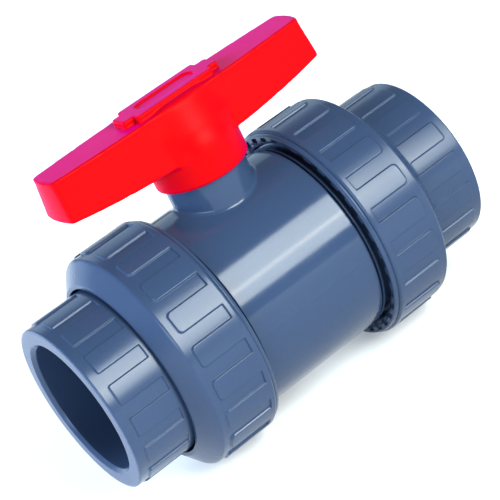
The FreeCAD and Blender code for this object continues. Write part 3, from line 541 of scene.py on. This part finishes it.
def thread_ridge(side, start, turns, root, crest):
    """Helical ridge from root to crest radius, its ends faded out."""
    low = root - math.copysign(RIDGE_SINK, crest - root)
    shape = outline([
        (-RIDGE_HALF_FOOT, low, 0, RIDGE_GAP),
        (-RIDGE_HALF_CREST, crest, RIDGE_EDGE, RIDGE_GAP),
        (RIDGE_HALF_CREST, crest, RIDGE_EDGE, RIDGE_GAP),
        (RIDGE_HALF_FOOT, low, 0, RIDGE_GAP),
    ])
    angles = np.linspace(0, 360 * turns, int(RIDGE_STEPS * turns) + 1)
    fade = np.clip(np.minimum(angles, angles[-1] - angles) / RIDGE_FADE, 0, 1)
    radius = low + (shape[:, 1][:, None] - low) * fade[None, :]
    x = start + THREAD_PITCH * angles[None, :] / 360 + shape[:, 0][:, None]
    a = np.radians(angles)[None, :]
    points = np.stack([side * x, side * radius * np.sin(a), -radius * np.cos(a)], axis=-1)
    rows, columns = points.shape[:2]
    index = np.arange(rows * columns).reshape(rows, columns)
    below = np.roll(index, -1, axis=0)
    quads = np.stack([index[:, :-1], below[:, :-1], below[:, 1:], index[:, 1:]], axis=-1).reshape(-1, 4)
    return points.reshape(-1, 3), quads


# ---------------------------------------------------------------- skins of distance fields


def joined_round(a, b, radius):
    """Union of two solids with a fillet of that radius where they meet."""
    corner = np.hypot(np.maximum(radius - a, 0), np.maximum(radius - b, 0))
    return np.maximum(radius, np.minimum(a, b)) - corner


def common_round(a, b, radius):
    """What two solids share, its edge rounded to that radius."""
    corner = np.hypot(np.maximum(radius + a, 0), np.maximum(radius + b, 0))
    return np.minimum(-radius, np.maximum(a, b)) + corner


def cut_round(a, b, radius):
    """The first solid without the second, the edge rounded to that radius."""
    return common_round(a, -b, radius)


CUBE = np.array([(i, j, k) for i in (0, 1) for j in (0, 1) for k in (0, 1)])
SLOPE_STEP, SNAPS, SNAP_SHARE, FLATTEST_SLOPE, NEAR_SHARE = 0.02, 6, 0.8, 0.2, 0.02


def net_faces(inside, number):
    """One quad for each grid line that passes through the surface, between the four cells round it."""
    faces = []
    for axis in range(3):
        one, two = [a for a in range(3) if a != axis]
        head = [slice(None)] * 3
        tail = [slice(None)] * 3
        head[axis], tail[axis] = slice(1, None), slice(None, -1)
        changed = inside[tuple(head)] != inside[tuple(tail)]
        at = np.argwhere(changed)
        outwards = inside[tuple(tail)][changed]
        keep = (at[:, one] > 0) & (at[:, two] > 0)
        at, outwards = at[keep], outwards[keep]
        step_one, step_two = np.eye(3, dtype=int)[one], np.eye(3, dtype=int)[two]
        ring = [at - step_one - step_two, at - step_two, at, at - step_one]
        quad = np.stack([number[tuple(cell.T)] for cell in ring], axis=-1)
        flip = outwards if axis != 1 else ~outwards
        quad[~flip] = quad[~flip][:, ::-1]
        faces.append(quad)
    return np.concatenate(faces)


def field_slope(field, points):
    """Gradient of a distance field."""
    slope = np.empty_like(points)
    for axis in range(3):
        offset = np.zeros(3)
        offset[axis] = SLOPE_STEP
        slope[:, axis] = (field(points + offset) - field(points - offset)) / (2 * SLOPE_STEP)
    return slope


def skin(field, low, high, cell):
    """Closed mesh of quads on the surface of the solid where the distance field is negative."""
    axes = [np.arange(a - 2 * cell, b + 3 * cell, cell) for a, b in zip(low, high)]
    grid = np.stack(np.meshgrid(*axes, indexing="ij"), axis=-1)
    values = field(grid)
    inside = values < 0
    size = np.array(inside.shape) - 1
    corners = [inside[tuple(slice(c, c + s) for c, s in zip(corner, size))] for corner in CUBE]
    mixed_cells = np.any(corners, axis=0) & ~np.all(corners, axis=0)
    number = np.full(size, -1)
    number[mixed_cells] = np.arange(mixed_cells.sum())
    cells = np.argwhere(mixed_cells)
    away = [np.abs(values[tuple((cells + corner).T)]) for corner in CUBE]
    weights = 1 / (NEAR_SHARE * cell + np.stack(away, axis=-1))
    total = weights.sum(axis=1)
    points = sum(weights[:, i, None] * (cells + corner) for i, corner in enumerate(CUBE)) / total[:, None]
    points = points * cell + np.array([axis[0] for axis in axes])
    for _ in range(SNAPS):
        slope = field_slope(field, points)
        size_of_slope = np.maximum((slope ** 2).sum(axis=1), FLATTEST_SLOPE)
        move = slope * (field(points) / size_of_slope)[:, None]
        points = points - np.clip(move, -cell, cell) * SNAP_SHARE
    return points, net_faces(inside, number)


def sector_field(x, y, turn, half_angle):
    """Two opposite wedges about the stem axis."""
    a = math.radians(turn)
    u = np.abs(x * math.cos(a) + y * math.sin(a))
    v = np.abs(-x * math.sin(a) + y * math.cos(a))
    h = math.radians(half_angle)
    return v * math.cos(h) - u * math.sin(h)


# ---------------------------------------------------------------- casing

BODY_RADIUS, SPIGOT_RADIUS, SPIGOT_LEAD, SHOULDER_REACH = 47.2, 45.0, 1.2, 31.7
RING_START, RING_END, RING_RADIUS = 32.9, 34.1, 46.8
CAVITY_RADIUS, CAVITY_END, SEAT_RADIUS, SEAT_BACK = 37.4, 19.0, 33.05, 28.0
SEAT_GROOVE_DEPTH, SEAT_GROOVE_LOW, SEAT_GROOVE_HIGH = 2.4, 28.25, 30.75
FACE_GROOVE_REACH, FACE_GROOVE_LOW, FACE_GROOVE_HIGH = 54.1, 38.85, 42.35
NECK_RADIUS, NECK_TOP, NECK_FILLET = 19.0, 68.0, 2.2
BUSH_RADIUS, BUSH_BOTTOM, STEM_BORE, THRUST_TOP, STEM_WELL = 13.55, 60.0, 10.5, 42.0, 14.15
CASING_THREAD_CREST = 46.9
OPENING_ANGLE, OPENING_REACH, WELL_REACH, OPENING_CELLS = 30.0, 25.0, 17.5, 24
OUTER_START, OUTER_STEP, INNER_START, INNER_STEP = 31.0, 1.5, 56.0, 2.5
PARTING_HEIGHT, PARTING_HALF_WIDTH, PARTING_ANGLES = 0.07, 0.35, (90, 270)
STOP_RADIUS, STOP_HALF_WIDTH = 16.5, 2.1
NECK_STOP_HALF_ANGLE, NECK_STOP_HEIGHT, NECK_STOP_SINK = 15.0, 3.4, 0.5


def casing_section():
    """Half section of the barrel, its two longest runs evenly divided round the neck and the well."""
    outer = np.concatenate([
        np.arange(-OUTER_START, -OPENING_REACH, OUTER_STEP),
        np.linspace(-OPENING_REACH, OPENING_REACH, OPENING_CELLS + 1),
        np.arange(OPENING_REACH + OUTER_STEP, OUTER_START + 0.5, OUTER_STEP),
    ])
    inner = np.concatenate([
        np.arange(INNER_START, WELL_REACH, -INNER_STEP),
        np.linspace(WELL_REACH, -WELL_REACH, OPENING_CELLS + 1),
    ])
    reach, shoulder = JOINT_FACE, SHOULDER_REACH
    return outline([
        (-reach, SPIGOT_RADIUS - SPIGOT_LEAD, 0.2, 1.0),
        (-reach + SPIGOT_LEAD, SPIGOT_RADIUS, 0.4, 2.0),
        (-RING_END, SPIGOT_RADIUS, 0.1, 1.0),
        (-RING_END, RING_RADIUS, 0.25, 1.0),
        (-RING_START, RING_RADIUS, 0.25, 1.0),
        (-RING_START, SPIGOT_RADIUS, 0.1, 1.0),
        (-shoulder, SPIGOT_RADIUS, 0.1, 1.0),
        (-shoulder, BODY_RADIUS, 0.4, outer),
        (shoulder, BODY_RADIUS, 0.4, 1.0),
        (shoulder, SPIGOT_RADIUS, 0.1, 1.0),
        (RING_START, SPIGOT_RADIUS, 0.1, 1.0),
        (RING_START, RING_RADIUS, 0.25, 1.0),
        (RING_END, RING_RADIUS, 0.25, 1.0),
        (RING_END, SPIGOT_RADIUS, 0.1, 2.0),
        (reach - SPIGOT_LEAD, SPIGOT_RADIUS, 0.4, 1.0),
        (reach, SPIGOT_RADIUS - SPIGOT_LEAD, 0.2, 1.0),
        (reach, FACE_GROOVE_HIGH, 0.2, 1.5),
        (FACE_GROOVE_REACH, FACE_GROOVE_HIGH, 0.4, 1.5),
        (FACE_GROOVE_REACH, FACE_GROOVE_LOW, 0.4, 1.5),
        (reach, FACE_GROOVE_LOW, 0.2, 1.0),
        (reach, CAVITY_RADIUS, 0.4, inner),
        (-CAVITY_END, CAVITY_RADIUS, 0.3, 1.5),
        (-CAVITY_END, SEAT_RADIUS, 0.3, 2.0),
        (-SEAT_BACK, SEAT_RADIUS, 0.2, 1.0),
        (-SEAT_BACK, SEAT_GROOVE_HIGH, 0.1, 1.0),
        (-SEAT_BACK - SEAT_GROOVE_DEPTH, SEAT_GROOVE_HIGH, 0.3, 1.0),
        (-SEAT_BACK - SEAT_GROOVE_DEPTH, SEAT_GROOVE_LOW, 0.3, 1.0),
        (-SEAT_BACK, SEAT_GROOVE_LOW, 0.1, 1.0),
        (-SEAT_BACK, FLOW_RADIUS, 0.4, 3.0),
        (-reach, FLOW_RADIUS, 0.5, 2.0),
        (-reach, FACE_GROOVE_LOW, 0.2, 1.5),
        (-FACE_GROOVE_REACH, FACE_GROOVE_LOW, 0.4, 1.5),
        (-FACE_GROOVE_REACH, FACE_GROOVE_HIGH, 0.4, 1.5),
        (-reach, FACE_GROOVE_HIGH, 0.2, 1.0),
    ])


def casing_angles():
    """Angles round the barrel: even over the neck, with narrow steps at the two parting lines."""
    over_neck = np.arange(-OPENING_ANGLE, OPENING_ANGLE + 0.1, 2.0)
    elsewhere = np.arange(OPENING_ANGLE + 3, 360 - OPENING_ANGLE - 1, 3.0)
    steps = np.array([-1.0, -0.45, -0.2, 0.2, 0.45, 1.0])
    seams = np.concatenate([side + steps for side in PARTING_ANGLES])
    return np.sort(np.concatenate([over_neck, elsewhere, seams]))


def rectangle_loop(index, rows, columns):
    """Point numbers round the edge of a rectangle of a grid."""
    top, bottom = index[rows[0], columns], index[rows[-1], columns]
    left, right = index[rows, columns[0]], index[rows, columns[-1]]
    return np.concatenate([top[:-1], right[:-1], bottom[:0:-1], left[:0:-1]])


def rows_between(section, radius, reach):
    """Rows of a section that lie on a radius and not further than reach from the stem axis."""
    on_run = (np.abs(section[:, 1] - radius) < 1e-6) & (np.abs(section[:, 0]) < reach + 1e-6)
    return np.flatnonzero(on_run)


def fillet_rings(turn, steps=9):
    """Rings of the fillet between neck and barrel, from the neck down: a ball rolled round the corner."""
    ball = NECK_RADIUS + NECK_FILLET
    far = BODY_RADIUS + NECK_FILLET
    centre = np.stack([ball * np.cos(turn), ball * np.sin(turn), 0 * turn], axis=-1)
    centre[:, 2] = np.sqrt(far ** 2 - centre[:, 1] ** 2)
    to_neck = -np.stack([np.cos(turn), np.sin(turn), 0 * turn], axis=-1)
    to_barrel = -centre * np.array([0, 1, 1]) / far
    between = np.arccos((to_neck * to_barrel).sum(axis=-1))[:, None]
    rings = []
    for share in np.linspace(0, 1, steps):
        spoke = np.sin((1 - share) * between) * to_neck + np.sin(share * between) * to_barrel
        rings.append(centre + NECK_FILLET * spoke / np.sin(between))
    return rings


def neck_rings(turn):
    """Rings from the foot of the well, up inside the neck, over its top and down to the barrel."""
    foot = np.sqrt(CAVITY_RADIUS ** 2 - (STEM_WELL * np.sin(turn)) ** 2)
    fillet = fillet_rings(turn)
    line = outline([
        (STEM_WELL, THRUST_TOP, 0.1, 1.0),
        (STEM_BORE, THRUST_TOP, 0.3, 3.0),
        (STEM_BORE, BUSH_BOTTOM, 0.3, 1.0),
        (BUSH_RADIUS, BUSH_BOTTOM, 0.2, 2.0),
        (BUSH_RADIUS, NECK_TOP, 0.3, 1.5),
        (NECK_RADIUS, NECK_TOP, 0.6, 30.0),
    ])[:-1]
    rings = [(STEM_WELL, foot + (THRUST_TOP - foot) * share) for share in (0, 0.35, 0.7)]
    rings += [(radius, height + 0 * turn) for radius, height in line]
    start, stop = line[-1, 1], fillet[0][:, 2]
    rings += [(NECK_RADIUS, start + (stop - start) * share) for share in np.linspace(0.125, 0.875, 7)]
    return [np.stack([r * np.cos(turn), r * np.sin(turn), z], axis=-1) for r, z in rings] + fillet


def strip_between(rings):
    """Faces between neighbouring closed rings of point numbers."""
    inner, outer = rings[:-1], rings[1:]
    faces = [inner, np.roll(inner, -1, axis=1), np.roll(outer, -1, axis=1), outer]
    return np.stack(faces, axis=-1).reshape(-1, 4)


def patch_rings(ring, loop, radius, shares):
    """Rings on a cylinder about the pipe axis between a ring round the stem axis and a rectangle on it."""
    angle = [np.arctan2(points[:, 1], points[:, 2]) for points in (ring, loop)]
    rings = []
    for share in shares:
        x = ring[:, 0] + (loop[:, 0] - ring[:, 0]) * share
        a = angle[0] + (angle[1] - angle[0]) * share
        rings.append(np.stack([x, radius * np.sin(a), radius * np.cos(a)], axis=-1))
    return rings


def casing_barrel():
    """Barrel and neck in one closed mesh: a turned grid, opened at the top, with the neck's rings in it."""
    section, angles = casing_section(), casing_angles()
    x, radius = section[:, :1], section[:, 1:]
    away = np.min([np.abs(angles - side) for side in PARTING_ANGLES], axis=0)
    beside = away * math.radians(BODY_RADIUS)
    seam = PARTING_HEIGHT * np.clip(1.5 - beside / PARTING_HALF_WIDTH, 0, 1)
    radius = radius + seam * (radius > BODY_RADIUS - 0.01)
    grid = around_pipe(1, x, radius, angles[None, :])
    index = np.arange(grid.shape[0] * grid.shape[1]).reshape(grid.shape[:2])
    points, quads = grid.reshape(-1, 3), wrapped_quads(*grid.shape[:2])
    columns = np.flatnonzero(np.abs(angles) < OPENING_ANGLE + 0.1)
    outer_rows = rows_between(section, BODY_RADIUS, OPENING_REACH)
    inner_rows = rows_between(section, CAVITY_RADIUS, WELL_REACH)[::-1]
    gone = np.zeros(index.shape, dtype=bool)
    gone[np.ix_(outer_rows[:-1], columns[:-1])] = True
    gone[np.ix_(inner_rows[1:], columns[:-1])] = True
    quads = quads[~gone.ravel()]
    outer = rectangle_loop(index, outer_rows, columns)
    inner = rectangle_loop(index, inner_rows, columns)
    turn = np.arctan2(points[outer, 1], points[outer, 0])
    rings = neck_rings(turn)
    below = patch_rings(rings[0], points[inner], CAVITY_RADIUS, (0.75, 0.5, 0.25))
    above = patch_rings(rings[-1], points[outer], BODY_RADIUS, (0.12, 0.3, 0.5, 0.72))
    rings = below + rings + above
    numbers = len(points) + np.arange(len(rings) * len(turn)).reshape(len(rings), -1)
    numbers = np.concatenate([inner[None], numbers, outer[None]])
    return np.concatenate([points, *rings]), np.concatenate([quads, strip_between(numbers)])


def neck_stop_field(points):
    """The two lugs on top of the neck that stop the handle."""
    x, y, z = points[..., 0], points[..., 1], points[..., 2]
    ring = np.abs(np.hypot(x, y) - STOP_RADIUS) - STOP_HALF_WIDTH
    plan = common_round(ring, sector_field(x, y, 0, NECK_STOP_HALF_ANGLE), 0.5)
    middle = NECK_TOP + (NECK_STOP_HEIGHT - NECK_STOP_SINK) / 2
    return common_round(plan, np.abs(z - middle) - (NECK_STOP_HEIGHT + NECK_STOP_SINK) / 2, 0.4)


def make_casing():
    """Valve body: barrel with its neck, a thread at each end and the stops on the neck."""
    ridges = [thread_ridge(side, THREAD_START, 3, SPIGOT_RADIUS, CASING_THREAD_CREST) for side in (-1, 1)]
    stops = skin(neck_stop_field, (-19, -6, NECK_TOP - 1), (19, 6, NECK_TOP + 4), 0.5)
    piece = add_piece("casing_shell", *merged(casing_barrel(), *ridges, stops), "casing_pvc", "casing")
    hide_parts("valve_body")


# ---------------------------------------------------------------- handle

BAR_TOP, BAR_BASE = 94.2, 69.0
BAR_HALF, BAR_HALF_LOW = 66.4, 68.0
BAR_WIDTH, BAR_WIDTH_LOW = 9.2, 13.2
SIDE_BOW, END_BOW = 3.0, 1.5
UNDER_CENTRE, UNDER_TIP = 70.6, 75.6
COLLAR_RADIUS, COLLAR_BOTTOM, COLLAR_TOP = 21.7, 58.6, 73.5
BOSS_RADIUS, BOSS_TOP = 13.2, 92.5
COLLAR_BORE, COLLAR_ROOF = 19.5, 71.8
LOW_BLEND, HIGH_BLEND, BLEND_RISE = 2.0, 6.0, 8.0
BAR_CORNER, BAR_UNDER_EDGE, BAR_TOP_EDGE = 1.2, 0.7, 0.6
BAR_LIP, BAR_LIP_DROP, BAR_LIP_RISE = 0.18, 1.7, 0.6
COLLAR_SHOULDER, COLLAR_EDGE, BOSS_EDGE = 1.5, 0.8, 0.5
PAD_HEIGHT, PAD_SHOULDER, PAD_HALF, PAD_WIDTH, PAD_NOSE = 3.0, 20.3, 25.4, 9.2, 5.4
PAD_CORNER, PAD_FILLET, PAD_EDGE, PAD_FOOT = 1.0, 0.8, 0.5, 0.35
PANEL_HALF, PANEL_WIDTH, PANEL_DEPTH, PANEL_EDGE = 15.0, 4.6, 0.7, 0.25
HOLLOW_START, HOLLOW_HALF_WIDTH, HOLLOW_ROOF, RIB_BOTTOM = 26.5, 7.2, 3.2, 84.0
POCKETS, POCKET_LENGTH, POCKET_STEP, POCKET_CORNER = 3, 11.2, 13.4, 1.0
HANDLE_STOP_TURN, HANDLE_STOP_HALF_ANGLE, HANDLE_STOP_BOTTOM, STOP_EDGE = 135.0, 29.5, 68.3, 0.4
HEAD_RADIUS, HEAD_FLAT, HEAD_TOP = 10.52, 7.62, 86.12
INSIDE_EDGE, HANDLE_CELL = 0.5, 0.8


def bar_field(x, y, z):
    """The bowed and tapered bar, with a narrow lip along its top."""
    share = (z - BAR_BASE) / (BAR_TOP - BAR_BASE)
    half_length = BAR_HALF_LOW + (BAR_HALF - BAR_HALF_LOW) * share
    half_width = BAR_WIDTH_LOW + (BAR_WIDTH - BAR_WIDTH_LOW) * share
    wide = half_width + SIDE_BOW * (1 - (x / half_length) ** 2)
    long = half_length + END_BOW * (1 - (y / half_width) ** 2)
    lean = math.cos(math.atan((BAR_WIDTH_LOW - BAR_WIDTH) / (BAR_TOP - BAR_BASE)))
    lip = BAR_LIP * np.clip((z - (BAR_TOP - BAR_LIP_DROP)) / BAR_LIP_RISE, 0, 1)
    sides = (np.abs(y) - wide - lip) * lean
    ends = np.abs(x) - long - lip
    plan = common_round(sides, ends, BAR_CORNER)
    under = UNDER_CENTRE + (UNDER_TIP - UNDER_CENTRE) * (x / BAR_HALF_LOW) ** 2 - z
    return common_round(common_round(plan, under, BAR_UNDER_EDGE), z - BAR_TOP, BAR_TOP_EDGE)


def collar_field(x, y, z):
    """The collar over the neck, narrowing into a cone that ends at the top of the bar."""
    radius = np.hypot(x, y)
    slope = (COLLAR_RADIUS - BOSS_RADIUS) / (BOSS_TOP - COLLAR_TOP)
    cone = (radius - COLLAR_RADIUS + slope * (z - COLLAR_TOP)) / math.hypot(1, slope)
    barrel = common_round(radius - COLLAR_RADIUS, cone, COLLAR_SHOULDER)
    return common_round(common_round(barrel, COLLAR_BOTTOM - z, COLLAR_EDGE), z - BOSS_TOP, BOSS_EDGE)


def pad_field(x, y, z):
    """The spanner pad: a plate with a nose at each end and a shallow panel sunk in its top."""
    plate = common_round(np.abs(x) - PAD_SHOULDER, np.abs(y) - PAD_WIDTH, PAD_CORNER)
    noses = common_round(np.abs(x) - PAD_HALF, np.abs(y) - PAD_NOSE, PAD_CORNER)
    plan = joined_round(plate, noses, PAD_FILLET)
    pad = common_round(plan, np.abs(z - BAR_TOP) - PAD_HEIGHT, PAD_EDGE)
    panel = common_round(np.abs(x) - PANEL_HALF, np.abs(y) - PANEL_WIDTH, PANEL_WIDTH - 0.1)
    return cut_round(pad, np.maximum(panel, BAR_TOP + PAD_HEIGHT - PANEL_DEPTH - z), PANEL_EDGE)


def pockets_field(x, y, z):
    """The hollow under each wing, and the three pockets above it with ribs between them."""
    along = np.abs(x) - HOLLOW_START
    index = np.clip(np.floor(along / POCKET_STEP), 0, POCKETS - 1)
    pocket = np.abs(along - index * POCKET_STEP - POCKET_LENGTH / 2) - POCKET_LENGTH / 2
    across = np.abs(y) - HOLLOW_HALF_WIDTH
    length = (POCKETS - 1) * POCKET_STEP + POCKET_LENGTH
    wing = common_round(np.abs(along - length / 2) - length / 2, across, POCKET_CORNER)
    roof = common_round(pocket, across, POCKET_CORNER)
    roof = common_round(roof, z - (BAR_TOP - HOLLOW_ROOF), POCKET_CORNER)
    return np.minimum(roof, np.maximum(wing, z - RIB_BOTTOM))


def handle_field(points):
    """The whole handle: bar, collar and pad, hollowed for the neck, the stem head and the wings."""
    x, y, z = points[..., 0], points[..., 1], points[..., 2]
    radius = np.hypot(x, y)
    blend = LOW_BLEND + (HIGH_BLEND - LOW_BLEND) * np.clip((z - COLLAR_TOP) / BLEND_RISE, 0, 1)
    solid = joined_round(bar_field(x, y, z), collar_field(x, y, z), blend)
    solid = joined_round(solid, pad_field(x, y, z), PAD_FOOT)
    bore = common_round(radius - COLLAR_BORE, z - COLLAR_ROOF, 0.8)
    solid = cut_round(solid, bore, INSIDE_EDGE)
    solid = cut_round(solid, pockets_field(x, y, z), INSIDE_EDGE)
    ring = np.abs(radius - STOP_RADIUS) - STOP_HALF_WIDTH
    sector = sector_field(x, y, HANDLE_STOP_TURN, HANDLE_STOP_HALF_ANGLE)
    stop = common_round(ring, sector, STOP_EDGE)
    stop = common_round(stop, HANDLE_STOP_BOTTOM - z, STOP_EDGE)
    solid = np.minimum(solid, np.maximum(stop, z - COLLAR_ROOF - 0.5))
    head = common_round(radius - HEAD_RADIUS, np.abs(x) - HEAD_FLAT, 0.2)
    return cut_round(solid, np.maximum(head, z - HEAD_TOP), 0.3)


def make_handle():
    """The lever handle in one moulding."""
    low = (-BAR_HALF_LOW - END_BOW, -COLLAR_RADIUS, COLLAR_BOTTOM)
    high = (BAR_HALF_LOW + END_BOW, COLLAR_RADIUS, BAR_TOP + PAD_HEIGHT)
    points, quads = skin(handle_field, low, high, HANDLE_CELL)
    piece = add_piece("handle_moulding", points, quads, "handle_red", "handle")
    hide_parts("handle")


# ---------------------------------------------------------------- the whole valve

make_studio()
dress_frame()
make_casing()
make_connector(-1, "end_connector_left", "connector_left", 12.7)
make_connector(1, "end_connector_right", "connector_right", 22.2)
make_nut(-1, "union_nut_left", "nut_left", 12.7, 17.3)
make_nut(1, "union_nut_right", "nut_right", 0.4, 5.0)
make_handle()
